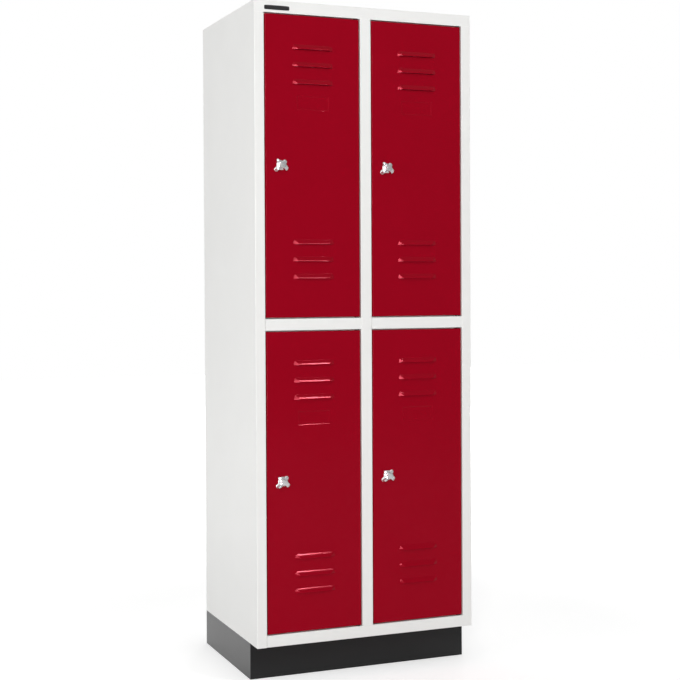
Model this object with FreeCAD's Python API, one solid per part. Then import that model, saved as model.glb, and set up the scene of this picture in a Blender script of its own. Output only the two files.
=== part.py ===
import FreeCAD, Part
import math
import os

from FreeCAD import Vector

# Clothing locker of folded sheet steel: two columns of two compartments, each behind a louvred
# door that hangs on pivot pins and shuts with a turn latch for a padlock. Millimetres.
# +Z is up, the doors face -Y, and the origin lies on the floor under the middle of the whole box.

# Carcass: driving dimensions
width = 650.0
depth = 480.0
height = 1850.0
plinth_height = 100.0
plinth_setback = 62.0
side_stile = 28.0
centre_stile = 32.0
rail_height = 32.0

# Sheet metal
sheet = 0.8
bend = 1.0  # inside radius of the folds that show; folds out of sight are drawn sharp
edge_flange = 15.0
foot_flange = 25.0
stile_hem = 10.0
stop_lip = 10.0  # lip behind a door's edge that the door shuts against
pocket_depth = 22.0  # from the front of the frame to that lip
corner_relief = 4.0
fold_gap = 0.3

# Plinth channels
plinth_sheet = 1.5
plinth_flange = 30.0

# Doors
door_gap = 3.0
door_recess = 1.0
door_lip = 10.0
rest_gap = 0.3  # left between pieces that rest on each other but part again
buffer_side = 8.0
buffer_thickness = 3.7
buffer_margin = 150.0

# Louvres and label field, pressed in the door's sheet
louvre_count = 3
louvre_width = 118.0
louvre_height = 13.0
louvre_depth = 6.5
louvre_taper = 15.0  # length of each slanted end
louvre_flats = 3  # flats that the hood is pressed in, from its lip to its top edge
louvre_pitch = 47.0
louvre_top_drop = 82.0  # from the top of the opening to the first louvre
louvre_bottom_rise = 109.0  # from the bottom of the opening to the last louvre
label_width = 92.0
label_height = 38.0
label_depth = 1.2
label_slope = 2.0
label_drop = 221.0

# Door stiffener, a hat section spot-welded inside the door
hat_flange = 10.0
hat_width = 24.0
hat_depth = 11.0
hat_edge_distance = 26.0  # from the door's hinge edge
hat_end_gap = 14.0

# Pivot hinges: studs on the door's ends that turn in square nylon bushes
pin_radius = 2.5
pin_running_gap = 0.05
pin_tip = 6.0
swing_clearance = 1.0
bush_flange = 10.0
bush_body = 7.5
bush_sleeve = 3.0
bush_fit = 0.05
bush_edge_gap = 0.2

# Turn latch
latch_inset = 45.0  # from the door's free edge to the latch's axis
latch_rise = 3.0  # of the latch's axis above the door's middle
barrel_side = 16.0
barrel_fit = 0.1
rosette_margin = 2.0  # of the rosette past the corners of the barrel's hole
rosette_cut = 8.0
base_slope = 2.5
base_thickness = 3.5
bridge_reach = 20.0  # from the latch's axis to the end of the base without the ear
bridge_margin = 1.2  # of the base past its ear
bridge_width = 12.0
bridge_cut = 3.5
clip_side = 28.0
clip_thickness = 1.2
head_radius = 9.0  # of the knob in front of the base, to the corners between its flats
head_flats = 12
hub_radius = 6.5
hub_running_gap = 0.05
hub_reach = 16.0
square_side = 8.0
square_fit = 0.05
eye_radius = 4.0  # hole for the shackle of a padlock
ear_radius = 6.6
ear_thickness = 5.0
ear_gap = 0.6
ear_reach = 19.0  # in front of the door's face
ear_angle = 30.0  # below the horizontal, of the plane in which both ears meet
latch_turn = 60.0  # from open to locked
grip_radius = 20.0
grip_thickness = 11.0
grip_cut = 3.0
grip_edge = 9.0
grip_gap = 0.5
cam_width = 14.0
cam_thickness = 2.0
cam_gap = 0.8
cam_tip_gap = 3.0

# Clothes rails, each laid in two nylon saddles
rail_radius = 6.0
rail_drop = 70.0  # from the top of the compartment to the rail's axis
saddle_depth = 12.0
saddle_base = 3.0
saddle_wall = 4.0
saddle_fit = 0.3

# Places that follow from the dimensions
half_width = width / 2
inner_half = half_width - sheet
wall_top = height - sheet
door_forward = ear_reach - door_recess  # how far the latches stand out in front of the frame
front = (door_forward - depth) / 2
back = front + depth
back_inside = back - 2 * sheet
stop_front = front + pocket_depth
tray_front = stop_front + sheet + fold_gap
middle_depth = (front + back) / 2

opening_width = (width - 2 * side_stile - centre_stile) / 2
opening_height = (height - plinth_height - 3 * rail_height) / 2
stile_edge = half_width - side_stile
lower_bottom = plinth_height + rail_height
lower_top = lower_bottom + opening_height
upper_bottom = lower_top + rail_height
upper_top = upper_bottom + opening_height
columns = {"left": -stile_edge, "right": centre_stile / 2}
tiers = {"lower": lower_bottom, "upper": upper_bottom}
ceilings = {"lower": upper_bottom + stop_lip, "upper": height}
walls = {"left": (-inner_half, -sheet / 2), "right": (sheet / 2, inner_half)}

door_front = front + door_recess
door_depth = pocket_depth - door_recess - buffer_thickness - rest_gap
door_back = door_front + door_depth
hinge_setback = bush_flange / 2 + bush_edge_gap + sheet + bend - door_recess
swing_room = door_gap - swing_clearance
hinge_inset = (hinge_setback**2 - swing_room**2) / (2 * swing_room)
hinge_y = door_front + hinge_setback

louvre_curve = (louvre_height**2 + louvre_depth**2) / (2 * louvre_depth)
eye_offset = head_radius + ear_gap + ear_radius
ear_lean = math.degrees(math.atan2((ear_gap + ear_thickness) / 2, eye_offset))
eye_reach = ear_reach - ear_radius
knob_foot = -base_thickness - grip_gap  # the knob's underside, just clear of the base
cam_front = stop_front + sheet + cam_gap
barrel_end = cam_front - fold_gap
cam_reach = latch_inset + door_gap - cam_tip_gap


def box(x0, x1, y0, y1, z0, z1):
    return Part.makeBox(x1 - x0, y1 - y0, z1 - z0, Vector(x0, y0, z0))


def joined(first, *others):
    return first.fuse(list(others)).removeSplitter()


def right_of(direction):
    return Vector(direction.y, -direction.x, 0).normalize()


def sharp_fold(corner, into, out, gauge):
    """The corner of a fold on the skin and on the far face."""
    spread = 1 + into.dot(out)
    return (corner,), (corner + (right_of(into) + right_of(out)) * (gauge / spread),)


def round_fold(corner, into, out, gauge, radius):
    """The arcs of a fold on the skin and on the far face, each as start, middle and end."""
    turns_right = into.x * out.y - into.y * out.x < 0
    skin_radius = radius + gauge if turns_right else radius
    far_radius = radius if turns_right else radius + gauge
    reach = skin_radius * math.tan(into.getAngle(out) / 2)
    first = corner - into * reach
    last = corner + out * reach
    towards = right_of(into) if turns_right else -right_of(into)
    centre = first + towards * skin_radius
    ray = (corner - centre).normalize()
    skin = (first, centre + ray * skin_radius, last)
    far = (first + right_of(into) * gauge, centre + ray * far_radius, last + right_of(out) * gauge)
    return skin, far


def run(start, folds, end, place):
    """Edges of one face of a strip: straight stretches between folds, each a corner or an arc."""
    edges = []
    here = start
    for fold in folds:
        edges.append(Part.LineSegment(place(here), place(fold[0])).toShape())
        if len(fold) > 1:
            edges.append(Part.Arc(*[place(point) for point in fold]).toShape())
        here = fold[-1]
    edges.append(Part.LineSegment(place(here), place(end)).toShape())
    return edges


def folded(points, plane, start, stop, gauge=sheet):
    """A folded strip. The points follow one skin, and the metal lies to their right.

    A third value at a point is the inside radius of the fold there; without it the fold is sharp.
    The plane names the two axes of the points; the strip runs along the third, from start to stop.
    """
    places = {
        "xy": (lambda p: Vector(p.x, p.y, start), Vector(0, 0, 1)),
        "yz": (lambda p: Vector(start, p.x, p.y), Vector(1, 0, 0)),
        "xz": (lambda p: Vector(p.x, start, p.y), Vector(0, 1, 0)),
    }
    place, along = places[plane]
    flat = [Vector(u, v, 0) for u, v, *radius in points]
    ways = [(b - a).normalize() for a, b in zip(flat, flat[1:])]
    folds = []
    for corner, (u, v, *radius), into, out in zip(flat[1:], points[1:], ways, ways[1:]):
        fold = round_fold if radius else sharp_fold
        folds.append(fold(corner, into, out, gauge, *radius))
    far_start = flat[0] + right_of(ways[0]) * gauge
    far_end = flat[-1] + right_of(ways[-1]) * gauge
    edges = run(flat[0], [skin for skin, far in folds], flat[-1], place)
    edges += run(far_start, [far for skin, far in folds], far_end, place)
    edges.append(Part.LineSegment(place(flat[0]), place(far_start)).toShape())
    edges.append(Part.LineSegment(place(flat[-1]), place(far_end)).toShape())
    outline = Part.Wire(Part.__sortEdges__(edges))
    return Part.Face(outline).extrude(along * (stop - start))


def without_lip_at_rails(panel, edge):
    """The stile's lip gives way where the rails' own lips run across the opening."""
    rails = [
        (plinth_height, lower_bottom + stop_lip),
        (lower_top - stop_lip, upper_bottom + stop_lip),
        (upper_top - stop_lip, height),
    ]
    gaps = [box(edge, edge + stop_lip, front, stop_front + sheet, z0, z1) for z0, z1 in rails]
    return panel.cut(gaps)


def end_flanges(side):
    """Flanges folded in at the ends of a side panel: one stands on the plinth, one bears the roof."""
    outer = side * half_width
    foot = [
        (outer, plinth_height + edge_flange),
        (outer, plinth_height),
        (outer - side * foot_flange, plinth_height),
    ]
    head = [
        (outer - side * edge_flange, wall_top),
        (outer, wall_top),
        (outer, wall_top - edge_flange),
    ]
    if side < 0:
        foot.reverse()
        head.reverse()
    return [folded(flange, "xz", tray_front, back_inside - corner_relief) for flange in (foot, head)]


def side_panel(profile, side):
    """Wall and front stile folded from one sheet, cut back at the top for the roof's front."""
    wall = folded(profile, "xy", plinth_height, wall_top)
    roof_front = box(-half_width, half_width, front, front + sheet + bend, upper_top, height)
    return joined(wall.cut(roof_front), *end_flanges(side))


def left_side_panel():
    """Side with the lip that the left doors shut against."""
    profile = [
        (-stile_edge + stop_lip, stop_front),
        (-stile_edge, stop_front),
        (-stile_edge, front, bend),
        (-half_width, front, bend),
        (-half_width, back),
        (-half_width + edge_flange, back),
    ]
    return without_lip_at_rails(side_panel(profile, -1), -stile_edge)


def right_side_panel():
    """Side where the right doors hang, hemmed clear of their swing."""
    profile = [
        (half_width - edge_flange, back),
        (half_width, back),
        (half_width, front, bend),
        (stile_edge, front, bend),
        (stile_edge, stop_front),
        (stile_edge + stile_hem, stop_front),
    ]
    return side_panel(profile, 1)


def centre_stile_post():
    """Post between the columns: hinge side on its left, stop lip on its right."""
    edge = centre_stile / 2
    profile = [
        (edge + stop_lip, stop_front),
        (edge, stop_front),
        (edge, front, bend),
        (-edge, front, bend),
        (-edge, stop_front),
        (-edge + stile_hem, stop_front),
    ]
    post = folded(profile, "xy", lower_bottom, upper_top)
    ends = ((lower_bottom, lower_bottom + stop_lip), (upper_top - stop_lip, upper_top))
    rail_lips = [box(-edge, edge, stop_front, stop_front + sheet, z0, z1) for z0, z1 in ends]
    return without_lip_at_rails(post.cut(rail_lips), edge)


def centre_partition():
    """Wall between the columns, flanged to the post in front and to the back panel."""
    profile = [
        (-edge_flange, back_inside),
        (sheet / 2, back_inside),
        (sheet / 2, stop_front),
        (-centre_stile / 2 + sheet + fold_gap, stop_front),
    ]
    wall = folded(profile, "xy", lower_bottom + stop_lip, wall_top)
    roof_lip = box(-centre_stile, centre_stile, stop_front, tray_front, upper_top - stop_lip, height)
    rear = back_inside - sheet
    roof_flange = box(-centre_stile, centre_stile, rear, back, height - edge_flange, height)
    return wall.cut([roof_lip, roof_flange])


def tray(profile, level, x0, x1, wall0, wall1):
    """A shelf, floor or roof: the profile runs from front to back between the stiles, and the
    sheet widens behind them to flanges on both walls."""
    sides = [
        (wall0, level - edge_flange),
        (wall0, level),
        (wall1, level),
        (wall1, level - edge_flange),
    ]
    across = folded(sides, "xz", tray_front, back_inside - corner_relief)
    return joined(folded(profile, "yz", x0, x1), across)


def rear_edge(level):
    return [(back_inside, level), (back_inside, level - edge_flange)]


def floor_panel():
    level = lower_bottom + stop_lip
    profile = [
        (front + edge_flange, plinth_height),
        (front, plinth_height, bend),
        (front, lower_bottom, bend),
        (stop_front, lower_bottom),
        (stop_front, level),
    ] + rear_edge(level)
    panel = tray(profile, level, -stile_edge, stile_edge, -inner_half, inner_half)
    return panel.cut([hinge_hole(side, lower_bottom) for side in columns])


def roof_panel():
    """Roof over the whole top; its front folds down into the top rail and, between the stiles,
    on into the ledge and lip above the doors."""
    crown = (front, height, bend)
    over_all = [(front, upper_top), crown, (back_inside, height)]
    lip = [(stop_front, upper_top - stop_lip), (stop_front, upper_top), (front, upper_top, bend)]
    between_stiles = folded(lip + [crown] + rear_edge(height), "yz", -stile_edge, stile_edge)
    panel = joined(between_stiles, folded(over_all, "yz", -half_width, half_width))
    return panel.cut([hinge_hole(side, upper_top) for side in columns])


def shelf(side):
    """Floor of an upper compartment; its front folds into the rail between the two doors."""
    level = upper_bottom + stop_lip
    profile = [
        (stop_front, lower_top - stop_lip),
        (stop_front, lower_top),
        (front, lower_top, bend),
        (front, upper_bottom, bend),
        (stop_front, upper_bottom),
        (stop_front, level),
    ] + rear_edge(level)
    x0 = columns[side]
    panel = tray(profile, level, x0, x0 + opening_width, *walls[side])
    return panel.cut([hinge_hole(side, lower_top), hinge_hole(side, upper_bottom)])


def back_panel():
    """Plain sheet between the side panels' rear flanges and the trays."""
    return box(-inner_half, inner_half, back_inside, back_inside + sheet, plinth_height, height)


def plinth_member(length):
    """Channel with mitred ends, along X, with its web on Y = 0 and its flanges behind."""
    profile = [
        (plinth_flange, 0),
        (0, 0),
        (0, plinth_height),
        (plinth_flange, plinth_height),
    ]
    channel = folded(profile, "yz", -length / 2, length / 2, plinth_sheet)
    corners = [
        Vector(-length / 2, 0, 0),
        Vector(length / 2, 0, 0),
        Vector(length / 2 - plinth_flange, plinth_flange, 0),
        Vector(plinth_flange - length / 2, plinth_flange, 0),
    ]
    plan = Part.Face(Part.makePolygon(corners + corners[:1]))
    return channel.common(plan.extrude(Vector(0, 0, plinth_height)))


def plinth():
    """The four mitred members, flush with the carcass at the sides and back."""
    side_length = depth - plinth_setback
    side_middle = back - side_length / 2
    seats = {
        "front": (width, 0, Vector(0, front + plinth_setback, 0)),
        "rear": (width, 180, Vector(0, back, 0)),
        "left": (side_length, -90, Vector(-half_width, side_middle, 0)),
        "right": (side_length, 90, Vector(half_width, side_middle, 0)),
    }
    members = {}
    for name, (length, angle, seat) in seats.items():
        member = plinth_member(length)
        member.rotate(Vector(0, 0, 0), Vector(0, 0, 1), angle)
        member.translate(seat)
        members["plinth_" + name] = member
    return members


def hinge_x(side):
    return columns[side] + opening_width - door_gap - hinge_inset


def hinge_block(side, width_across, z0, z1):
    """Upright block of square section about a hinge's axis."""
    x = hinge_x(side)
    half = width_across / 2
    return box(x - half, x + half, hinge_y - half, hinge_y + half, z0, z1)


def hinge_hole(side, level):
    """Hole for a hinge bush, through the ledge of a rail."""
    return hinge_block(side, bush_body + 2 * bush_fit, level - sheet, level + sheet)


def hinge_bush(side, level, away):
    """Flanged bush in a rail's ledge; away is the way from the door into the rail."""
    inner = level - away * (door_gap - rest_gap)
    outer = level + away * (sheet + bush_sleeve)
    flange = hinge_block(side, bush_flange, *sorted((inner, level)))
    sleeve = hinge_block(side, bush_body, *sorted((level, outer)))
    start = Vector(hinge_x(side), hinge_y, inner)
    bore_radius = pin_radius + pin_running_gap
    bore = Part.makeCylinder(bore_radius, abs(outer - inner), start, Vector(0, 0, away))
    return joined(flange, sleeve).cut(bore)


def hinge_bushes():
    bushes = []
    for side in columns:
        for bottom in tiers.values():
            bushes.append(hinge_bush(side, bottom, -1))
            bushes.append(hinge_bush(side, bottom + opening_height, 1))
    return Part.makeCompound(bushes)


def hinge_pins(side, bottom):
    """Studs welded on the top and bottom edges of a door."""
    ends = ((bottom + door_gap, -1), (bottom + opening_height - door_gap, 1))
    length = door_gap + pin_tip
    pins = []
    for edge, away in ends:
        seat = Vector(hinge_x(side), hinge_y, edge)
        pins.append(Part.makeCylinder(pin_radius, length, seat, Vector(0, 0, away)))
    return Part.makeCompound(pins)


def door_buffers():
    """Rubber pads on the stop lips, just behind the free edge of each door."""
    half = buffer_side / 2
    seat = stop_front - buffer_thickness
    pads = []
    for x0 in columns.values():
        x = x0 + stop_lip / 2
        for bottom in tiers.values():
            for z in (bottom + buffer_margin, bottom + opening_height - buffer_margin):
                pads.append(box(x - half, x + half, seat, stop_front, z - half, z + half))
    return Part.makeCompound(pads)


def rounded_front(x0, x1, y0, y1, z0, z1, radius):
    """Box whose four front edges are rounded and meet in mitres."""
    block = box(x0, x1, y0, y1, z0, z1)
    edges = [e for e in block.Edges if e.BoundBox.YMax < (y0 + y1) / 2]
    middle = (x0 + x1) / 2
    upright = [e for e in edges if abs(e.CenterOfMass.x - middle) > radius]
    level = [e for e in edges if abs(e.CenterOfMass.x - middle) < radius]
    return block.makeFillet(radius, upright).common(block.makeFillet(radius, level))


def louvre_end(x, slit, way, inset):
    """Block that slants off one end of a louvre, moved inwards by the inset.

    Its slanted face runs from the end of the louvre's top edge out to the ends of the slit.
    """
    top = Vector(x + way * (louvre_width / 2 - louvre_taper), door_front, slit + louvre_height)
    outwards = Vector(way * louvre_taper, 0, -louvre_height)
    forwards = Vector(0, -louvre_depth, -louvre_height)
    normal = (outwards.cross(forwards) * -way).normalize()
    spread = ((-1, -1), (2, -1), (2, 2), (-1, 2))
    corners = [top + outwards * a + forwards * b - normal * inset for a, b in spread]
    return Part.Face(Part.makePolygon(corners + corners[:1])).extrude(normal * louvre_taper)


def louvre_hood(x, slit, inset):
    """Pressed hood above a slit, with slanted ends, and set inwards all over by the inset.

    Its flats lie along an arc that leaves the lip upright and runs out into the door's sheet.
    """
    start = x - louvre_width / 2
    inside = door_front + sheet
    axis = door_front - louvre_depth + louvre_curve
    radius = louvre_curve - inset
    step = math.asin(louvre_height / louvre_curve) / louvre_flats
    angles = [i * step for i in range(louvre_flats + 1)]
    rim = [(axis - radius * math.cos(a), slit + radius * math.sin(a)) for a in angles]
    outline = rim + [(inside, rim[-1][1]), (inside, slit), rim[0]]
    profile = Part.Face(Part.makePolygon([Vector(start, y, z) for y, z in outline]))
    hood = profile.extrude(Vector(louvre_width, 0, 0))
    return hood.cut([louvre_end(x, slit, way, inset) for way in (-1, 1)])


def louvre_slits(bottom):
    """Heights of the louvres' slits, a group near the top and a group near the bottom of a door."""
    first = bottom + opening_height - louvre_top_drop - louvre_height
    last = bottom + louvre_bottom_rise
    steps = [i * louvre_pitch for i in range(louvre_count)]
    return [first - step for step in steps] + [last + step for step in steps]


def label_press(x, bottom, offset):
    """Shallow sloped block that presses the label field into the sheet, set back by the offset."""
    half = label_width / 2
    top = bottom + opening_height - label_drop
    floor = top - label_height
    front_y = door_front + offset
    return Part.makeWedge(
        x - half, front_y, floor, floor + label_slope, x - half + label_slope,
        x + half, front_y + label_depth, top, top - label_slope, x + half - label_slope,
    )


def latch_seat(side, bottom):
    """Where a latch's axis meets the door's face."""
    x = columns[side] + door_gap + latch_inset
    return Vector(x, door_front, bottom + opening_height / 2 + latch_rise)


def door_panel(side, bottom):
    """Door pan: sheet with flanged and returned edges, louvres, label field and its holes."""
    x0 = columns[side] + door_gap
    x1 = columns[side] + opening_width - door_gap
    z0 = bottom + door_gap
    z1 = bottom + opening_height - door_gap
    middle = (x0 + x1) / 2
    inside = door_front + sheet
    outer = rounded_front(x0, x1, door_front, door_back, z0, z1, bend)
    hollow = box(x0 + sheet, x1 - sheet, inside, door_back - sheet, z0 + sheet, z1 - sheet)
    window = box(
        x0 + door_lip, x1 - door_lip, door_back - 2 * sheet, door_back, z0 + door_lip, z1 - door_lip
    )
    slits = louvre_slits(bottom)
    pan = outer.cut([hollow, window])
    hoods = [louvre_hood(middle, slit, 0) for slit in slits]
    pan = joined(pan, label_press(middle, bottom, sheet), *hoods)
    cuts = [louvre_hood(middle, slit, sheet) for slit in slits]
    cuts.append(label_press(middle, bottom, 0))
    latch_hole = axis_block(barrel_side + 2 * barrel_fit, 0, sheet)
    latch_hole.translate(latch_seat(side, bottom))
    cuts.append(latch_hole)
    return pan.cut(cuts).removeSplitter()


def door_stiffener(side, bottom):
    """Hat section on the inside of the door's sheet, beside the louvres."""
    skin = door_front + sheet
    edge = columns[side] + opening_width - door_gap - hat_edge_distance
    steps = (0, hat_flange, hat_flange + hat_width, 2 * hat_flange + hat_width)
    outer_flange, outer_web, inner_web, inner_flange = (edge - step for step in steps)
    crown = skin + hat_depth
    profile = [
        (outer_flange, skin),
        (outer_web, skin),
        (outer_web, crown),
        (inner_web, crown),
        (inner_web, skin),
        (inner_flange, skin),
    ]
    end = door_gap + hat_end_gap
    return folded(profile, "xy", bottom + end, bottom + opening_height - end)


def axis_block(side, y0, y1):
    """Block of square section about the latch's axis, which is Y."""
    half = side / 2
    return box(-half, half, y0, y1, -half, half)


def turned_on_axis(piece, angle):
    """The piece turned about the latch's axis, anticlockwise as seen from in front."""
    return piece.rotate(Vector(0, 0, 0), Vector(0, -1, 0), angle)


def base_plate(length, breadth, cut):
    """Plate with cut corners and a sloped rim, on the door's face."""
    plate = box(-length / 2, length / 2, -base_thickness, 0, -breadth / 2, breadth / 2)
    edges = [e for e in plate.Edges if e.BoundBox.YLength > base_thickness / 2]
    plate = plate.makeChamfer(cut, edges)
    rim = [e for e in plate.Edges if e.BoundBox.YMax < -base_thickness / 2]
    return plate.makeChamfer(base_slope, rim)


def ear(root_way, length, z0):
    """Padlock ear with a round end about its eye; root_way leads from the eye to its root."""
    eye = Vector(-eye_offset, -eye_reach, z0)
    across = Vector(-root_way.y, root_way.x, 0) * ear_radius
    root = eye + root_way * length
    edges = [
        Part.Arc(eye + across, eye - root_way * ear_radius, eye - across).toShape(),
        Part.LineSegment(eye - across, root - across).toShape(),
        Part.LineSegment(root - across, root + across).toShape(),
        Part.LineSegment(root + across, eye + across).toShape(),
    ]
    plate = Part.Face(Part.Wire(edges)).extrude(Vector(0, 0, ear_thickness))
    return plate.cut(Part.makeCylinder(eye_radius, ear_thickness, eye))


def hub_bar(radius, y0, y1):
    """Round bar on the latch's axis."""
    return Part.makeCylinder(radius, y1 - y0, Vector(0, y0, 0), Vector(0, 1, 0))


def knob_head(y0, y1):
    """Many-sided prism along the latch's axis."""
    turns = [2 * math.pi * i / head_flats for i in range(head_flats)]
    corners = [Vector(head_radius * math.cos(a), y0, head_radius * math.sin(a)) for a in turns]
    return Part.Face(Part.makePolygon(corners + corners[:1])).extrude(Vector(0, y1 - y0, 0))


def latch_base():
    """Cast base on the door's face: a rosette over the square barrel, which goes through the door,
    and a bridge across it that bears the fixed ear."""
    barrel = axis_block(barrel_side, 0, barrel_end - door_front)
    rosette_side = math.sqrt(2) * barrel_side + 2 * rosette_margin
    rosette = base_plate(rosette_side, rosette_side, rosette_cut)
    ear_end = eye_offset + ear_radius + bridge_margin
    bridge = base_plate(ear_end + bridge_reach, bridge_width, bridge_cut)
    bridge.translate(Vector((bridge_reach - ear_end) / 2, 0, 0))
    bridge = turned_on_axis(bridge, ear_angle + ear_lean)
    length = eye_reach - base_thickness / 2
    fixed_ear = turned_on_axis(ear(Vector(0, 1, 0), length, -ear_gap / 2 - ear_thickness), ear_angle)
    bore = hub_bar(hub_radius + hub_running_gap, -base_thickness, barrel_end - door_front)
    return joined(rosette, bridge, barrel, fixed_ear).cut(bore)


def latch_clip():
    """Spring plate pushed on the barrel against the inside of the door's sheet."""
    plate = axis_block(clip_side, sheet, sheet + clip_thickness)
    return plate.cut(axis_block(barrel_side + 2 * barrel_fit, sheet, sheet + clip_thickness))


def knob_grip():
    """Thumb grip, sloping from the knob's head down to its cut-off end."""
    corners = [
        Vector(0, knob_foot, -grip_thickness / 2),
        Vector(grip_radius, knob_foot, -grip_thickness / 2),
        Vector(grip_radius, -grip_edge, -grip_thickness / 2),
        Vector(head_radius, -hub_reach, -grip_thickness / 2),
        Vector(0, -hub_reach, -grip_thickness / 2),
    ]
    side = Part.Face(Part.makePolygon(corners + corners[:1]))
    grip = side.extrude(Vector(0, 0, grip_thickness))
    end = [e for e in grip.Edges if e.BoundBox.XMin > head_radius and e.BoundBox.YLength > grip_gap]
    return grip.makeChamfer(grip_cut, end)


def latch_knob():
    """Turning knob: head with padlock ear and grip, on a hub that runs through the barrel to a
    square end."""
    square_start = barrel_end - door_front
    head = knob_head(-hub_reach, knob_foot)
    hub = hub_bar(hub_radius, knob_foot, square_start)
    square = axis_block(square_side, square_start, cam_front + cam_thickness - door_front)
    moving_ear = ear(Vector(1, 0, 0), eye_offset, ear_gap / 2)
    grip = turned_on_axis(knob_grip(), -ear_lean)
    return turned_on_axis(joined(head, hub, square, moving_ear, grip), ear_angle - latch_turn)


def latch_cam():
    """Tongue on the hub's square end, which turns behind the stile's lip."""
    y0 = cam_front - door_front
    y1 = y0 + cam_thickness
    half = cam_width / 2
    tongue = box(-cam_reach, half, y0, y1, -half, half)
    hole = turned_on_axis(axis_block(square_side + 2 * square_fit, y0, y1), ear_angle)
    return turned_on_axis(tongue.cut(hole), -latch_turn)


def latch_pieces(side, bottom):
    """The pieces of one door's latch, each moved to the latch's axis."""
    pieces = {
        "latch_base": latch_base(),
        "latch_clip": latch_clip(),
        "latch_knob": latch_knob(),
        "latch_cam": latch_cam(),
    }
    for piece in pieces.values():
        piece.translate(latch_seat(side, bottom))
    return pieces


def rail_level(tier):
    return ceilings[tier] - rail_drop


def clothes_rail(side, tier):
    """Round steel rod between two saddles."""
    wall0, wall1 = walls[side]
    start = Vector(wall0 + saddle_base + fold_gap, middle_depth, rail_level(tier))
    length = wall1 - wall0 - 2 * (saddle_base + fold_gap)
    return Part.makeCylinder(rail_radius, length, start, Vector(1, 0, 0))


def rail_saddle(wall, way, level):
    """Block on a wall with a slot, open at the top, that the end of a rail lies in."""
    slot_half = rail_radius + saddle_fit
    half = slot_half + saddle_wall
    floor = level - rail_radius - saddle_fit
    top = level + rail_radius
    mouth = wall + way * saddle_depth
    x0, x1 = sorted((wall, mouth))
    block = box(x0, x1, middle_depth - half, middle_depth + half, floor - saddle_wall, top)
    x0, x1 = sorted((wall + way * saddle_base, mouth))
    return block.cut(box(x0, x1, middle_depth - slot_half, middle_depth + slot_half, floor, top))


def rail_saddles():
    saddles = []
    for wall0, wall1 in walls.values():
        for tier in tiers:
            saddles.append(rail_saddle(wall0, 1, rail_level(tier)))
            saddles.append(rail_saddle(wall1, -1, rail_level(tier)))
    return Part.makeCompound(saddles)


def locker():
    """Every piece of the locker by name."""
    pieces = {
        "left_side_panel": left_side_panel(),
        "right_side_panel": right_side_panel(),
        "centre_stile": centre_stile_post(),
        "centre_partition": centre_partition(),
        "roof_panel": roof_panel(),
        "floor_panel": floor_panel(),
        "back_panel": back_panel(),
        "hinge_bushes": hinge_bushes(),
        "door_buffers": door_buffers(),
        "rail_saddles": rail_saddles(),
    }
    pieces.update(plinth())
    for side in columns:
        pieces["shelf_" + side] = shelf(side)
        for tier, bottom in tiers.items():
            place = f"_{tier}_{side}"
            pieces["clothes_rail" + place] = clothes_rail(side, tier)
            pieces["door_panel" + place] = door_panel(side, bottom)
            pieces["door_stiffener" + place] = door_stiffener(side, bottom)
            pieces["hinge_pins" + place] = hinge_pins(side, bottom)
            for name, piece in latch_pieces(side, bottom).items():
                pieces[name + place] = piece
    return pieces


os.makedirs("parts", exist_ok=True)
for name, shape in locker().items():
    shape.exportStep(f"parts/{name}.step")
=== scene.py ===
import math

import bmesh
import bpy
import numpy as np
from mathutils import Euler, Matrix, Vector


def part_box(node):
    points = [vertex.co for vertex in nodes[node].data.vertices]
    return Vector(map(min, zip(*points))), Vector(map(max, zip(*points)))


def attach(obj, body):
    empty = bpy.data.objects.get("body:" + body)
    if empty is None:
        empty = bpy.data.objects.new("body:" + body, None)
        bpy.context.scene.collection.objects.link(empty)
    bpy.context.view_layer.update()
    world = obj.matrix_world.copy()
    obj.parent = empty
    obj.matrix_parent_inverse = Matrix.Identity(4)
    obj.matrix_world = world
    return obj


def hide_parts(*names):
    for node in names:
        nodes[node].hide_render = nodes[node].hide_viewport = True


# Clothing locker: two columns of two compartments behind ruby-red louvred doors.
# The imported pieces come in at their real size, in metres, with their places in their meshes.
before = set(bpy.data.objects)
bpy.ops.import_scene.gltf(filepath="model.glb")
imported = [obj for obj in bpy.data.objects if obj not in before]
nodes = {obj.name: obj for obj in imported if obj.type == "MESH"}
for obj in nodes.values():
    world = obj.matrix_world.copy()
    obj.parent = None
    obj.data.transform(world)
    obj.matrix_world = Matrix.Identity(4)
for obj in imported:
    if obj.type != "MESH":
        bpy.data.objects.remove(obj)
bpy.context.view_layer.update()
places = [f"{tier}_{side}" for tier in ("lower", "upper") for side in ("left", "right")]


# Carcass
# Sides, roof, floor, shelves, stile, partition and back: 0.8 mm sheet steel, folded and spot-welded.
# The welded shell is sprayed with light grey powder, which bakes to a satin skin with a fine peel.
carcass_sheets = (
    "left_side_panel",
    "right_side_panel",
    "centre_stile",
    "centre_partition",
    "roof_panel",
    "floor_panel",
    "back_panel",
    "shelf_left",
    "shelf_right",
)
mm = 0.001


def linear(red, green, blue):
    """A colour in a screen's steps of 0 to 255, as the linear values that a shader works with."""
    steps = np.array((red, green, blue)) / 255
    return (*np.where(steps < 0.04045, steps / 12.92, ((steps + 0.055) / 1.055) ** 2.4), 1.0)


def place_node(tree, kind, inputs=None, **settings):
    """A new shader node; each input is joined to the socket given for it, or set to the value."""
    made = tree.nodes.new("ShaderNode" + kind)
    for name, value in settings.items():
        setattr(made, name, value)
    for name, value in (inputs or {}).items():
        if isinstance(value, bpy.types.NodeSocket):
            tree.links.new(value, made.inputs[name])
        else:
            made.inputs[name].default_value = value
    return made


def mix_values(tree, share, first, second):
    """A value between two others, which a Mix node takes at its inputs 2 and 3."""
    return place_node(tree, "Mix", {"Factor": share, 2: first, 3: second}).outputs[0]


def mix_colours(tree, share, first, second):
    """A colour between two others, which a Mix node takes at its inputs 6 and 7."""
    return place_node(tree, "Mix", {"Factor": share, 6: first, 7: second}, data_type="RGBA").outputs[2]


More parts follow.
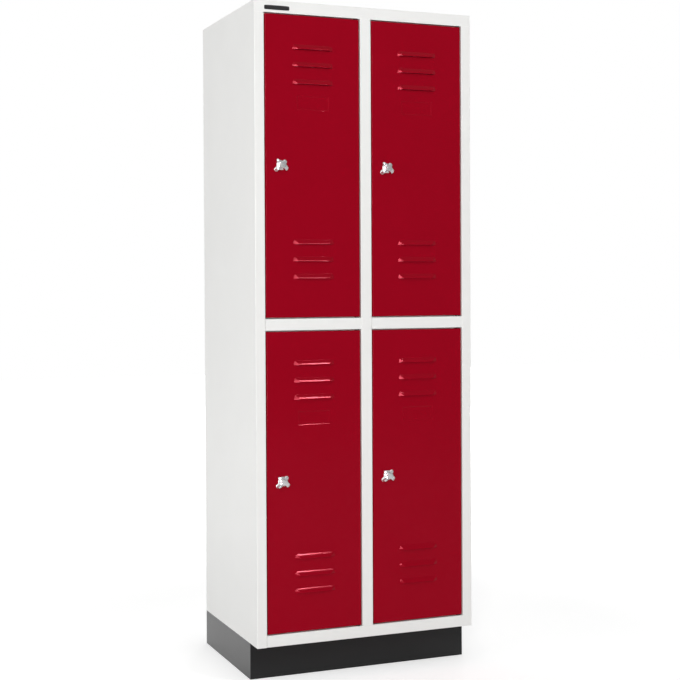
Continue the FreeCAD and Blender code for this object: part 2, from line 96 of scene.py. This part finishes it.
def ramp(tree, value, start, end, span=(0.0, 1.0), **settings):
    """A value that goes from its start to its end while another one crosses the span."""
    limits = {"From Min": span[0], "From Max": span[1], "To Min": start, "To Max": end}
    return place_node(tree, "MapRange", {"Value": value, **limits}, **settings).outputs[0]


def new_group(name, inputs, outputs):
    """An empty shader node group with these sockets: its tree, its inputs and its outputs."""
    group = bpy.data.node_groups.new(name, "ShaderNodeTree")
    for socket, value in inputs.items():
        kind = "NodeSocketFloat" if isinstance(value, float) else "NodeSocketVector"
        made = group.interface.new_socket(socket, in_out="INPUT", socket_type=kind)
        made.default_value = value
    for socket in outputs:
        group.interface.new_socket(socket, in_out="OUTPUT", socket_type="NodeSocketFloat")
    given = group.nodes.new("NodeGroupInput").outputs
    result = group.nodes.new("NodeGroupOutput").inputs
    return group, given, result


def powder_grain_group():
    """Sprayed powder: clouds and specks of tone, a sheen that wanders, and the peel's height."""
    group, given, result = new_group(
        "powder_grain", {"Peel per metre": 420.0}, ("Tone", "Sheen", "Height")
    )
    where = place_node(group, "TexCoord").outputs["Object"]
    clouds = place_node(group, "TexNoise", {"Vector": where, "Scale": 6.0, "Detail": 3.0})
    specks = place_node(group, "TexNoise", {"Vector": where, "Scale": 1900.0, "Detail": 0.0})
    sheen = place_node(group, "TexNoise", {"Vector": where, "Scale": 14.0, "Detail": 4.0})
    peel = place_node(
        group, "TexNoise", {"Vector": where, "Scale": given["Peel per metre"], "Detail": 1.5}
    )
    group.links.new(mix_values(group, 0.35, clouds.outputs[0], specks.outputs[0]), result["Tone"])
    group.links.new(sheen.outputs[0], result["Sheen"])
    group.links.new(peel.outputs[0], result["Height"])
    return group


def fold_paint_and_highlight_group():
    """Mask of the folds and cut edges, where the paint is made lighter, partly as thin paint and partly
    as a painted highlight: how far the rounded normal there leaves the flat one.
    """
    group, given, result = new_group("fold_paint_and_highlight", {"Width": 1.5 * mm}, ("Mask",))
    rounded = place_node(group, "Bevel", {"Radius": given["Width"]}, samples=4)
    flat = place_node(group, "NewGeometry")
    likeness = place_node(
        group,
        "VectorMath",
        {0: rounded.outputs[0], 1: flat.outputs["Normal"]},
        operation="DOT_PRODUCT",
    )
    mask = ramp(group, likeness.outputs["Value"], 0.0, 1.0, (0.99, 0.8))
    group.links.new(mask, result["Mask"])
    return group


powder_grain = powder_grain_group()
fold_paint_and_highlight = fold_paint_and_highlight_group()


def new_material(name):
    """A material with its shader: its node tree and its Principled node."""
    material = bpy.data.materials.new(name)
    material.use_nodes = True
    return material, material.node_tree, material.node_tree.nodes["Principled BSDF"]


def powder_coat(name, shade, tint, edge, sheen_range, specular, peel_height, glint=(255, 255, 255)):
    """Baked powder coat: two close tones in clouds, a lighter colour on the folds that is partly thin
    paint and partly a painted highlight, sheen and peel.
    """
    material, tree, shader = new_material(name)
    grain = place_node(tree, "Group", node_tree=powder_grain)
    thin_paint_and_highlight = place_node(tree, "Group", node_tree=fold_paint_and_highlight)
    film = mix_colours(tree, grain.outputs["Tone"], linear(*shade), linear(*tint))
    # The folds take a lighter colour: partly thinner paint, partly a painted highlight where they catch
    # the light.
    paint = mix_colours(tree, thin_paint_and_highlight.outputs["Mask"], film, linear(*edge))
    sheen = ramp(tree, grain.outputs["Sheen"], *sheen_range)
    peel = place_node(
        tree,
        "Bump",
        {"Height": grain.outputs["Height"], "Strength": 0.5, "Distance": peel_height},
    )
    tree.links.new(paint, shader.inputs["Base Color"])
    tree.links.new(sheen, shader.inputs["Roughness"])
    tree.links.new(peel.outputs[0], shader.inputs["Normal"])
    shader.inputs["Specular IOR Level"].default_value = specular
    shader.inputs["Specular Tint"].default_value = linear(*glint)
    return material


def give_finish(material, *names):
    """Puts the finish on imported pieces."""
    for name in names:
        nodes[name].data.materials.clear()
        nodes[name].data.materials.append(material)


carcass_paint = powder_coat(
    "carcass_paint",
    shade=(232, 232, 230),
    tint=(239, 239, 237),
    # Lighter on the folds: partly thin paint, partly a painted highlight.
    edge=(246, 246, 245),
    sheen_range=(0.34, 0.5),
    specular=0.4,
    peel_height=0.06 * mm,
)
give_finish(carcass_paint, *carcass_sheets)


# Plinth
# Four channels of 1.5 mm sheet with mitred corners, welded into a frame that the carcass stands on.
# It is sprayed black, glossier than the carcass, and stands back at the front to leave room for feet.
plinth_paint = powder_coat(
    "plinth_paint",
    shade=(11, 11, 12),
    tint=(16, 16, 17),
    # Lighter on the folds: partly thin paint, partly a painted highlight.
    edge=(38, 38, 39),
    sheen_range=(0.14, 0.24),
    specular=0.44,
    peel_height=0.05 * mm,
)
give_finish(plinth_paint, "plinth_front", "plinth_rear", "plinth_left", "plinth_right")


# Hinge bushes, rail saddles and door buffers
# Bushes and saddles are moulded in black nylon; the buffers are small pads cut from black rubber.
# The bushes snap into the rails' ledges; the saddles are bonded to the walls, the pads to the stop lips.
def moulded(name, shade, tint, roughness, grain_per_metre, grain_height):
    """Moulded or cut polymer: two close tones and an even, fine grain over the whole surface."""
    material, tree, shader = new_material(name)
    grain = place_node(
        tree, "Group", {"Peel per metre": grain_per_metre}, node_tree=powder_grain
    )
    skin = mix_colours(tree, grain.outputs["Tone"], linear(*shade), linear(*tint))
    bump = place_node(
        tree, "Bump", {"Height": grain.outputs["Height"], "Strength": 0.4, "Distance": grain_height}
    )
    tree.links.new(skin, shader.inputs["Base Color"])
    tree.links.new(bump.outputs[0], shader.inputs["Normal"])
    shader.inputs["Roughness"].default_value = roughness
    return material


nylon = moulded(
    "black_nylon",
    shade=(30, 30, 31),
    tint=(44, 44, 45),
    roughness=0.46,
    grain_per_metre=900.0,
    grain_height=0.04 * mm,
)
rubber = moulded(
    "black_rubber",
    shade=(22, 22, 22),
    tint=(38, 38, 38),
    roughness=0.82,
    grain_per_metre=1400.0,
    grain_height=0.12 * mm,
)
give_finish(nylon, "hinge_bushes", "rail_saddles")
give_finish(rubber, "door_buffers")


# Clothes rails
# Drawn steel rods, zinc plated, one across each compartment, dropped into the two saddles.
# The drawing die leaves faint lines along the rod, and the zinc dulls them unevenly.
def polish_lines_group():
    """Lines drawn out along one way: noise on coordinates that are stretched by the given scales."""
    group, given, result = new_group(
        "polish_lines", {"Lines per metre": (300.0, 300.0, 300.0)}, ("Tone", "Height")
    )
    where = place_node(group, "TexCoord").outputs["Object"]
    drawn = place_node(
        group, "VectorMath", {0: where, 1: given["Lines per metre"]}, operation="MULTIPLY"
    )
    lines = place_node(
        group, "TexNoise", {"Vector": drawn.outputs[0], "Scale": 1.0, "Detail": 3.0}
    )
    dull = place_node(group, "TexNoise", {"Vector": where, "Scale": 60.0, "Detail": 3.0})
    group.links.new(mix_values(group, 0.5, lines.outputs[0], dull.outputs[0]), result["Tone"])
    group.links.new(lines.outputs[0], result["Height"])
    return group


polish_lines = polish_lines_group()


def plated(name, shade, tint, gloss_range, lines_per_metre, line_height):
    """Plated metal: two close tones, a gloss that follows them, and fine lines of drawing or polish."""
    material, tree, shader = new_material(name)
    lines = place_node(
        tree, "Group", {"Lines per metre": lines_per_metre}, node_tree=polish_lines
    )
    metal = mix_colours(tree, lines.outputs["Tone"], linear(*shade), linear(*tint))
    gloss = ramp(tree, lines.outputs["Tone"], *gloss_range)
    bump = place_node(
        tree, "Bump", {"Height": lines.outputs["Height"], "Strength": 0.3, "Distance": line_height}
    )
    tree.links.new(metal, shader.inputs["Base Color"])
    tree.links.new(gloss, shader.inputs["Roughness"])
    tree.links.new(bump.outputs[0], shader.inputs["Normal"])
    shader.inputs["Metallic"].default_value = 1.0
    return material


rail_zinc = plated(
    "rail_zinc",
    shade=(186, 189, 193),
    tint=(212, 215, 218),
    gloss_range=(0.2, 0.4),
    lines_per_metre=(12.0, 1500.0, 1500.0),
    line_height=0.03 * mm,
)
give_finish(rail_zinc, *[f"clothes_rail_{place}" for place in places])


# Doors
# Each is a pan pressed from 0.8 mm sheet: rounded front edges, flanges and a returned lip behind,
# two groups of louvres pushed out of the face, a shallow field for a label, a hole for the latch.
# The pans are sprayed ruby red on their own, before they are hung.
door_depth = 17 * mm
door_sheet = 0.8 * mm
door_edge_radius = 1.8 * mm
door_lip = 10 * mm
louvre_half = 59 * mm
louvre_taper = 15.1 * mm
end_bulge = 0.03
end_round = 24 * mm
end_corner = 0.1
hood_knots = (0, 0.05, 0.93, 1)
hood_slopes = (0, 1, 0.66, 0)
louvre_height = 13 * mm
louvre_push = 6.9 * mm
louvre_count = 3
louvre_pitch = 47 * mm
louvre_top_drop = 92 * mm
louvre_bottom_rise = 106 * mm
label_half = 46 * mm
label_height = 38 * mm
label_top_drop = 218 * mm
label_slope = 2.12 * mm
label_side_slope = 1.4 * mm
label_push = 1.2 * mm
latch_inset = 45 * mm
latch_rise = 3 * mm
latch_hole = 16.2 * mm
crease = 0.3 * mm
same_place = 0.001 * mm
place_digits = 6
edge_steps = 5
end_steps = 12
hood_steps = 26
profile_steps = 200
flat_steps = 6
hole_steps = 2
pan_smooth_angle = 32


def merged(lines):
    """Arrays of lines put together and sorted; lines at the same place become one."""
    return np.unique(np.round(np.concatenate(lines), place_digits))


def grid_lines(*stretches):
    """Sorted lines of a grid; each stretch is a start, an end and a number of equal steps."""
    return merged([np.linspace(start, end, steps + 1) for start, end, steps in stretches])


def creased(*lines):
    """The lines where the sheet changes its slope, and a line on each side that keeps them crisp."""
    return np.concatenate([np.array((-crease, 0, crease)) + line for line in lines])


def quads(index):
    """Faces between neighbouring rows and columns of a grid of vertex numbers."""
    corners = (index[:-1, :-1], index[:-1, 1:], index[1:, 1:], index[1:, :-1])
    return np.stack(corners, axis=-1)


def edge_round(distance):
    """How far a rounded edge falls back: a quarter circle over the edge radius, nothing beyond it."""
    inside = np.clip(door_edge_radius - distance, 0, door_edge_radius)
    return door_edge_radius - np.sqrt(door_edge_radius**2 - inside**2)


def hood_profile(share):
    """Push of a louvre from its top, 0, to its lip, 1: the sum of a slope that grows over a short fold
    at the top, falls by a third along the rounded hood, and dies out close to the lip."""
    steps = np.linspace(0, 1, profile_steps + 1)
    push = np.cumsum(np.interp(steps, hood_knots, hood_slopes))
    return np.interp(share, steps, push / push[-1])


def louvre_ends(x, rise):
    """Greatest share of a louvre's push: all of it, falling off to nothing at both ends along a slightly
    bulging slant. The ends draw in by a parabola of the height, as the upper corners are rounded."""
    end = louvre_half - rise**2 / (2 * end_round)
    inside = np.clip((end - np.abs(x)) / louvre_taper, 0, 1)
    return inside * (1 + end_bulge * (1 - inside))


def louvre_push_at(x, rise):
    """Push of one louvre at a height above its slit: the lesser of its profile and its slanted ends,
    less a parabola that rounds the corner where the two are close."""
    share = hood_profile(np.clip(1 - rise / louvre_height, 0, 1))
    ends = louvre_ends(x, rise)
    corner = np.clip(end_corner - np.abs(share - ends), 0, None) ** 2 / (4 * end_corner)
    return louvre_push * np.clip(np.minimum(share, ends) - corner, 0, None)


def label_push_at(x, below):
    """Depth of the label field: it ramps down from all four sides to a flat floor, the lesser ramp
    holding at the corners."""
    across = (label_half - np.abs(x)) / label_side_slope
    along = np.minimum(below, label_height - below) / label_slope
    return label_push * np.clip(np.minimum(across, along), 0, 1)


def door_pan(name, low, high):
    """Door pan as one sheet: a grid over the face, pushed by its louvres and label field, whose
    border is carried back along the flange and in along the lip. Rows are doubled at the slits, so
    that a louvre's lip parts from the sheet below it."""
    half = (high.x - low.x) / 2
    middle = (high.x + low.x) / 2
    height = high.z - low.z
    face_y = high.y - door_depth
    latch_x = latch_inset - half
    latch_z = height / 2 + latch_rise
    hole = latch_hole / 2
    taper_start = louvre_half - louvre_taper
    outer_columns = np.concatenate([
        grid_lines((half - door_edge_radius, half, edge_steps), (taper_start, louvre_half, end_steps)),
        creased(half - door_edge_radius, label_half - label_side_slope, label_half),
        creased(taper_start, louvre_half),
    ])
    flat_columns = grid_lines((-taper_start, taper_start, flat_steps))
    hole_columns = grid_lines((latch_x - hole, latch_x + hole, hole_steps))
    columns = merged([flat_columns, hole_columns, outer_columns, -outer_columns])
    steps = np.arange(louvre_count) * louvre_pitch
    slits = np.concatenate([louvre_bottom_rise + steps, height - louvre_top_drop - steps[::-1]])
    label_top = height - label_top_drop
    label_floor = label_top - label_height
    rows = [
        grid_lines((0, door_edge_radius, edge_steps), (height - door_edge_radius, height, edge_steps)),
        grid_lines((latch_z - hole, latch_z + hole, hole_steps)),
        creased(door_edge_radius, height - door_edge_radius),
        creased(label_floor, label_floor + label_slope, label_top - label_slope, label_top),
    ]
    for slit in slits:
        rows.append(grid_lines((slit, slit + louvre_height, hood_steps)))
        rows.append(creased(slit, slit + louvre_height))
    rows = np.sort(np.concatenate([merged(rows), slits]))
    sheet_row = np.append(np.abs(np.diff(rows)) < same_place, False)
    x, z = np.meshgrid(columns, rows)

    fall = np.maximum(edge_round(half - np.abs(x)), edge_round(np.minimum(z, height - z)))
    push = np.zeros_like(x)
    for slit in slits:
        over = (z > slit - same_place) & (z < slit + louvre_height + same_place) & ~sheet_row[:, None]
        push = np.where(over, louvre_push_at(x, z - slit), push)
    y = face_y + fall - push + label_push_at(x, label_top - z)
    face = np.stack([x + middle, y, z + low.z], axis=-1).reshape(-1, 3)

    index = np.arange(x.size).reshape(x.shape)
    closed = louvre_push * louvre_ends(columns, 0) < same_place
    upper_row = np.flatnonzero(sheet_row) + 1
    index[np.ix_(upper_row, closed)] = index[np.ix_(upper_row - 1, closed)]
    faces = quads(index)
    in_hole = (np.abs(columns[:-1] + columns[1:] - 2 * latch_x) < 2 * hole)[None, :] & (
        np.abs(rows[:-1] + rows[1:] - 2 * latch_z) < 2 * hole
    )[:, None]
    faces = faces[~sheet_row[:-1, None] & ~in_hole]

    border = np.concatenate([index[0, :-1], index[:-1, -1], index[-1, :0:-1], index[:0:-1, 0]])
    border = border[np.append(True, np.diff(border) != 0)]
    rim = face[border]
    centre = np.array((middle, 0, low.z + height / 2))
    shrink = np.array((1 - door_lip / half, 1, 1 - 2 * door_lip / height))
    back = rim * (1, 0, 1) + (0, high.y, 0)
    lip = (back - centre) * shrink + centre
    loop = np.arange(len(border))
    rings = np.stack([border, x.size + loop, x.size + len(loop) + loop], axis=1)
    rings = np.concatenate([rings, rings[:1]])
    flange = quads(rings)

    mesh = bpy.data.meshes.new(name)
    points = np.concatenate([face, back, lip])
    mesh.from_pydata(points.tolist(), [], np.concatenate([faces, flange.reshape(-1, 4)]).tolist())
    mesh.validate()
    return mesh


def show(name, mesh, material):
    """Puts a mesh into the scene as an object at the origin, with its finish."""
    mesh.materials.clear()
    mesh.materials.append(material)
    piece = bpy.data.objects.new(name, mesh)
    bpy.context.scene.collection.objects.link(piece)
    return piece


def settle(piece, angle):
    """Turns the live modifiers into mesh, and shades it smooth between edges sharper than the angle."""
    evaluated = piece.evaluated_get(bpy.context.evaluated_depsgraph_get())
    mesh = bpy.data.meshes.new_from_object(evaluated)
    piece.modifiers.clear()
    piece.data = mesh
    mesh.polygons.foreach_set("use_smooth", np.ones(len(mesh.polygons), dtype=bool))
    mesh.set_sharp_from_angle(angle=math.radians(angle))


ruby_paint = powder_coat(
    "ruby_paint",
    shade=(143, 0, 21),
    tint=(149, 1, 26),
    # Lighter on the folds: partly thin paint, partly a painted highlight.
    edge=(161, 7, 33),
    sheen_range=(0.08, 0.13),
    specular=0.4,
    peel_height=0.03 * mm,
    glint=(255, 118, 137),
)
for place in places:
    name = f"pan_{place}"
    pan = show(name, door_pan(name, *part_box(f"door_panel_{place}")), ruby_paint)
    wall = pan.modifiers.new("sheet", "SOLIDIFY")
    wall.thickness = door_sheet
    wall.offset = -1
    settle(pan, pan_smooth_angle)
    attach(pan, f"door_{place}")
    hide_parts(f"door_panel_{place}")
give_finish(ruby_paint, *[f"door_stiffener_{place}" for place in places])


# Hinge pins, latch clips and cams
# Turned steel studs welded to the doors' ends, spring-steel plates pushed on the latches' barrels, and
# stamped tongues on the latches' squares. All are bright zinc plated, with a slight bloom.
bright_zinc = plated(
    "bright_zinc",
    shade=(176, 178, 182),
    tint=(206, 208, 211),
    gloss_range=(0.28, 0.48),
    lines_per_metre=(700.0, 700.0, 90.0),
    line_height=0.03 * mm,
)
for place in places:
    give_finish(bright_zinc, f"hinge_pins_{place}", f"latch_clip_{place}", f"latch_cam_{place}")


# Cam screws
# Flanged button-head screws, bright zinc plated, one driven into the end of each latch's square.
# The head laps over the square from inside the door, holds the cam on it, and has a hexagon socket.
screw_sides = 48
screw_smooth_angle = 35
# Radius and height in mm, and how round each ring is
screw_rings = np.array((
    (0.7, 1.0, 0.0),
    (2.0, 1.0, 0.0),
    (2.0, 2.7, 0.0),
    (2.3, 3.0, 0.2),
    (3.6, 2.9, 0.9),
    (4.8, 2.5, 1.0),
    (5.6, 1.9, 1.0),
    (5.9, 1.1, 1.0),
    (6.8, 1.0, 1.0),
    (7.0, 0.8, 1.0),
    (7.0, 0.0, 1.0),
)) * (mm, mm, 1)


def ringed(name, points, angle):
    """Closed mesh through rings of points: faces between neighbouring rings, a cap on the first and the
    last ring, smooth between edges sharper than the angle."""
    rings, around = points.shape[:2]
    index = np.arange(rings * around).reshape(rings, around)
    faces = quads(np.concatenate([index, index[:, :1]], axis=1)).reshape(-1, 4).tolist()
    faces += [index[0, ::-1].tolist(), index[-1].tolist()]
    mesh = bpy.data.meshes.new(name)
    mesh.from_pydata(points.reshape(-1, 3).tolist(), [], faces)
    mesh.polygons.foreach_set("use_smooth", np.ones(len(mesh.polygons), dtype=bool))
    mesh.set_sharp_from_angle(angle=math.radians(angle))
    return mesh


def screw_head(name, place):
    """Screw head on a cam's back, in line with the latch's clip: rings of a given radius and height, from
    the socket's floor up its flats, over the dome and down the flange. A ring blends a hexagon, whose
    radius is half its width over the cosine of the angle from the nearest flat, with a circle."""
    around = np.linspace(0, 2 * math.pi, screw_sides, endpoint=False)
    hexagon = 1 / np.cos((around + math.pi / 6) % (math.pi / 3) - math.pi / 6)
    radius, height, roundness = screw_rings.T[..., None]
    radius = radius * (hexagon + (1 - hexagon) * roundness)
    middle = np.mean(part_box(f"latch_clip_{place}"), axis=0)
    points = (
        middle[0] + radius * np.cos(around),
        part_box(f"latch_cam_{place}")[1].y + height + 0 * around,
        middle[2] + radius * np.sin(around),
    )
    return ringed(name, np.stack(points, axis=-1), screw_smooth_angle)


for place in places:
    name = f"cam_screw_{place}"
    screw = show(name, screw_head(name, place), bright_zinc)
    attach(screw, f"latch_{place}")


# Latches
# Zinc die castings, polished and chromed: a base with a fixed ear, and a knob with grip and ear.
# The casting's edges are rounded all round, and the polish leaves a faint haze.
cast_edge = 0.7 * mm
cast_edge_steps = 3
cast_edge_angle = 28
cast_flat_angle = 1
cast_smooth_angle = 50


def cast(name, material):
    """A casting with rounded edges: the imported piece, joined up, flat faces made whole, bevelled."""
    mesh = nodes[name].data.copy()
    shape = bmesh.new()
    shape.from_mesh(mesh)
    bmesh.ops.remove_doubles(shape, verts=shape.verts, dist=same_place)
    bmesh.ops.dissolve_limit(
        shape, angle_limit=math.radians(cast_flat_angle), verts=shape.verts, edges=shape.edges
    )
    shape.to_mesh(mesh)
    shape.free()
    piece = show("cast_" + name, mesh, material)
    edge = piece.modifiers.new("cast_edge", "BEVEL")
    edge.width = cast_edge
    edge.segments = cast_edge_steps
    edge.limit_method = "ANGLE"
    edge.angle_limit = math.radians(cast_edge_angle)
    settle(piece, cast_smooth_angle)
    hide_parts(name)
    return piece


chrome = plated(
    "latch_chrome",
    shade=(234, 236, 238),
    tint=(249, 249, 250),
    gloss_range=(0.18, 0.3),
    lines_per_metre=(240.0, 240.0, 240.0),
    line_height=0.02 * mm,
)
for place in places:
    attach(cast(f"latch_base_{place}", chrome), f"door_{place}")
    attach(cast(f"latch_knob_{place}", chrome), f"latch_{place}")


# Badge
# A thin bare plate of black plastic on the top rail, above the left door, with rounded corners.
# It is moulded with a slightly crowned face and glued on.
badge_middle = np.array((-260, 1831)) * mm
badge_half = np.array((36, 6)) * mm
badge_thickness = 1.4 * mm
badge_sides = 96
badge_corner_power = 8
badge_smooth_angle = 40
badge_rise = np.array((0, 0.3, 0.55, 0.7, 0.75, 0.85, 0.95, 1.0))
badge_inset = np.array((0, 0.02, 0.1, 0.25, 0.45, 0.9, 2.5, 5.0)) * mm


def badge_plate():
    """Crowned plate: rings of a rounded rectangle, a superellipse of power eight, shrink from the
    rim to the middle while the face rises along a quarter circle at the rim and a low crown inside."""
    around = np.linspace(0, 2 * math.pi, badge_sides, endpoint=False)
    outline = np.stack([np.cos(around), np.sin(around)], axis=-1)
    outline = np.sign(outline) * np.abs(outline) ** (2 / badge_corner_power)
    rings = badge_middle + outline * (badge_half - badge_inset[:, None, None])
    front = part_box("roof_panel")[0].y
    depth = front - badge_thickness * badge_rise[:, None] * np.ones(badge_sides)
    points = np.stack([rings[..., 0], depth, rings[..., 1]], axis=-1)
    return ringed("badge_plate", points, badge_smooth_angle)


badge_plastic = moulded(
    "badge_plastic",
    shade=(20, 19, 20),
    tint=(30, 29, 30),
    roughness=0.36,
    grain_per_metre=1200.0,
    grain_height=0.03 * mm,
)
badge = show("badge_plate", badge_plate(), badge_plastic)
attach(badge, "carcass")


# Studio
# A pale floor in a white room, a tall soft lamp far in front at the left, a small one high at the right,
# a soft one at the locker's left side, one far behind at the right, and the picture's camera.
floor_half = 12.0
floor_near = 0.9
floor_far = 2.6
floor_glow = 0.47
floor_tone = (233, 233, 233)
floor_behind = (-0.4, 0.0)
floor_mesh = bpy.data.meshes.new("floor")
corners = np.array(((-1, -1, 0), (1, -1, 0), (1, 1, 0), (-1, 1, 0))) * floor_half
floor_mesh.from_pydata(corners.tolist(), [], [(0, 1, 2, 3)])


def white_rays(tree, mirrors):
    """1 for the rays that see the white background: the camera's, and those of glass and mirrors."""
    path = place_node(tree, "LightPath")
    reflected = place_node(
        tree, "Math", {0: path.outputs["Is Glossy Ray"], 1: mirrors}, operation="MULTIPLY"
    )
    seen = place_node(
        tree,
        "Math",
        {0: path.outputs["Is Camera Ray"], 1: path.outputs["Is Transmission Ray"]},
        operation="MAXIMUM",
    )
    rays = place_node(
        tree, "Math", {0: seen.outputs[0], 1: reflected.outputs[0]}, operation="MAXIMUM"
    )
    return rays.outputs[0]


floor_paint, tree, shader = new_material("floor_paint")
where = place_node(tree, "TexCoord").outputs["Object"]
distance = place_node(tree, "VectorMath", {0: where}, operation="LENGTH")
way = place_node(tree, "SeparateXYZ", {0: where})
rays = white_rays(tree, ramp(tree, way.outputs["Y"], 0.0, 1.0, floor_behind))
white = ramp(
    tree,
    distance.outputs["Value"],
    floor_glow,
    1.0,
    (floor_near, floor_far),
    interpolation_type="SMOOTHSTEP",
)
glow = place_node(tree, "Math", {0: rays, 1: white}, operation="MULTIPLY")
tree.links.new(glow.outputs[0], shader.inputs["Emission Strength"])
shader.inputs["Base Color"].default_value = linear(*floor_tone)
shader.inputs["Emission Color"].default_value = (1, 1, 1, 1)
shader.inputs["Roughness"].default_value = 0.9
shader.inputs["Specular IOR Level"].default_value = 0.0
show("floor", floor_mesh, floor_paint)

room_light = 0.43
room_behind = (-0.2, 0.3)
mirror_light_left = 1.0
mirror_light_right = 0.36
mirror_span = (-0.5, 0.3)
world = bpy.data.worlds.new("studio")
bpy.context.scene.world = world
world.use_nodes = True
tree = world.node_tree
way = place_node(tree, "SeparateXYZ", {0: place_node(tree, "TexCoord").outputs["Generated"]})
rays = white_rays(tree, ramp(tree, way.outputs["Y"], 0.0, 1.0, room_behind))
mirrored = ramp(tree, way.outputs["X"], mirror_light_left, mirror_light_right, mirror_span)
glossy = place_node(tree, "LightPath").outputs["Is Glossy Ray"]
level = ramp(tree, rays, ramp(tree, glossy, room_light, mirrored), 1.0)
tree.links.new(level, tree.nodes["Background"].inputs["Strength"])
tree.nodes["Background"].inputs["Color"].default_value = (1, 1, 1, 1)


def soft_lamp(name, place, target, size, watts):
    """A rectangular soft lamp at a place, turned to its target."""
    lamp = bpy.data.lights.new(name, "AREA")
    lamp.shape = "RECTANGLE"
    lamp.size, lamp.size_y = size
    lamp.energy = watts
    holder = bpy.data.objects.new(name, lamp)
    bpy.context.scene.collection.objects.link(holder)
    way = np.array(target) - np.array(place)
    yaw = math.atan2(-way[0], way[1])
    pitch = math.atan2(way[2], math.hypot(way[0], way[1]))
    turn = Euler((math.pi / 2 + pitch, 0, yaw)).to_matrix()
    holder.matrix_world = Matrix.Translation(place) @ turn.to_4x4()


soft_lamp(
    "front_lamp", place=(-3.0, -6.25, 2.0), target=(-0.15, -0.2, 0.9), size=(1.05, 4.0), watts=232
)
soft_lamp(
    "high_lamp", place=(1.347, -2.8, 3.8), target=(-0.2, -0.2, 0.7), size=(0.24, 0.3), watts=14
)
soft_lamp(
    "side_lamp", place=(-4.2, -0.5, 1.2), target=(-0.3, 0.0, 0.9), size=(1.4, 2.2), watts=31
)
soft_lamp(
    "back_lamp", place=(4.0, 7.0, 0.95), target=(0.1, 0.1, 0.95), size=(1.6, 1.6), watts=250
)

camera_place = (-1.502, -3.725, 1.086)
camera_yaw = math.radians(-22.15)
camera_pitch = math.radians(-0.94)
camera_roll = math.radians(-0.27)
lens = bpy.data.cameras.new("picture_camera")
lens.sensor_width = 36.0
lens.lens = 72.43
lens.shift_y = -0.05
camera = bpy.data.objects.new("picture_camera", lens)
bpy.context.scene.collection.objects.link(camera)
turn = Euler((math.pi / 2 + camera_pitch, 0, camera_yaw)).to_matrix()
turn = turn @ Matrix.Rotation(camera_roll, 3, "Z")
camera.matrix_world = Matrix.Translation(camera_place) @ turn.to_4x4()
bpy.context.scene.camera = camera
bpy.context.scene.view_settings.view_transform = "Standard"
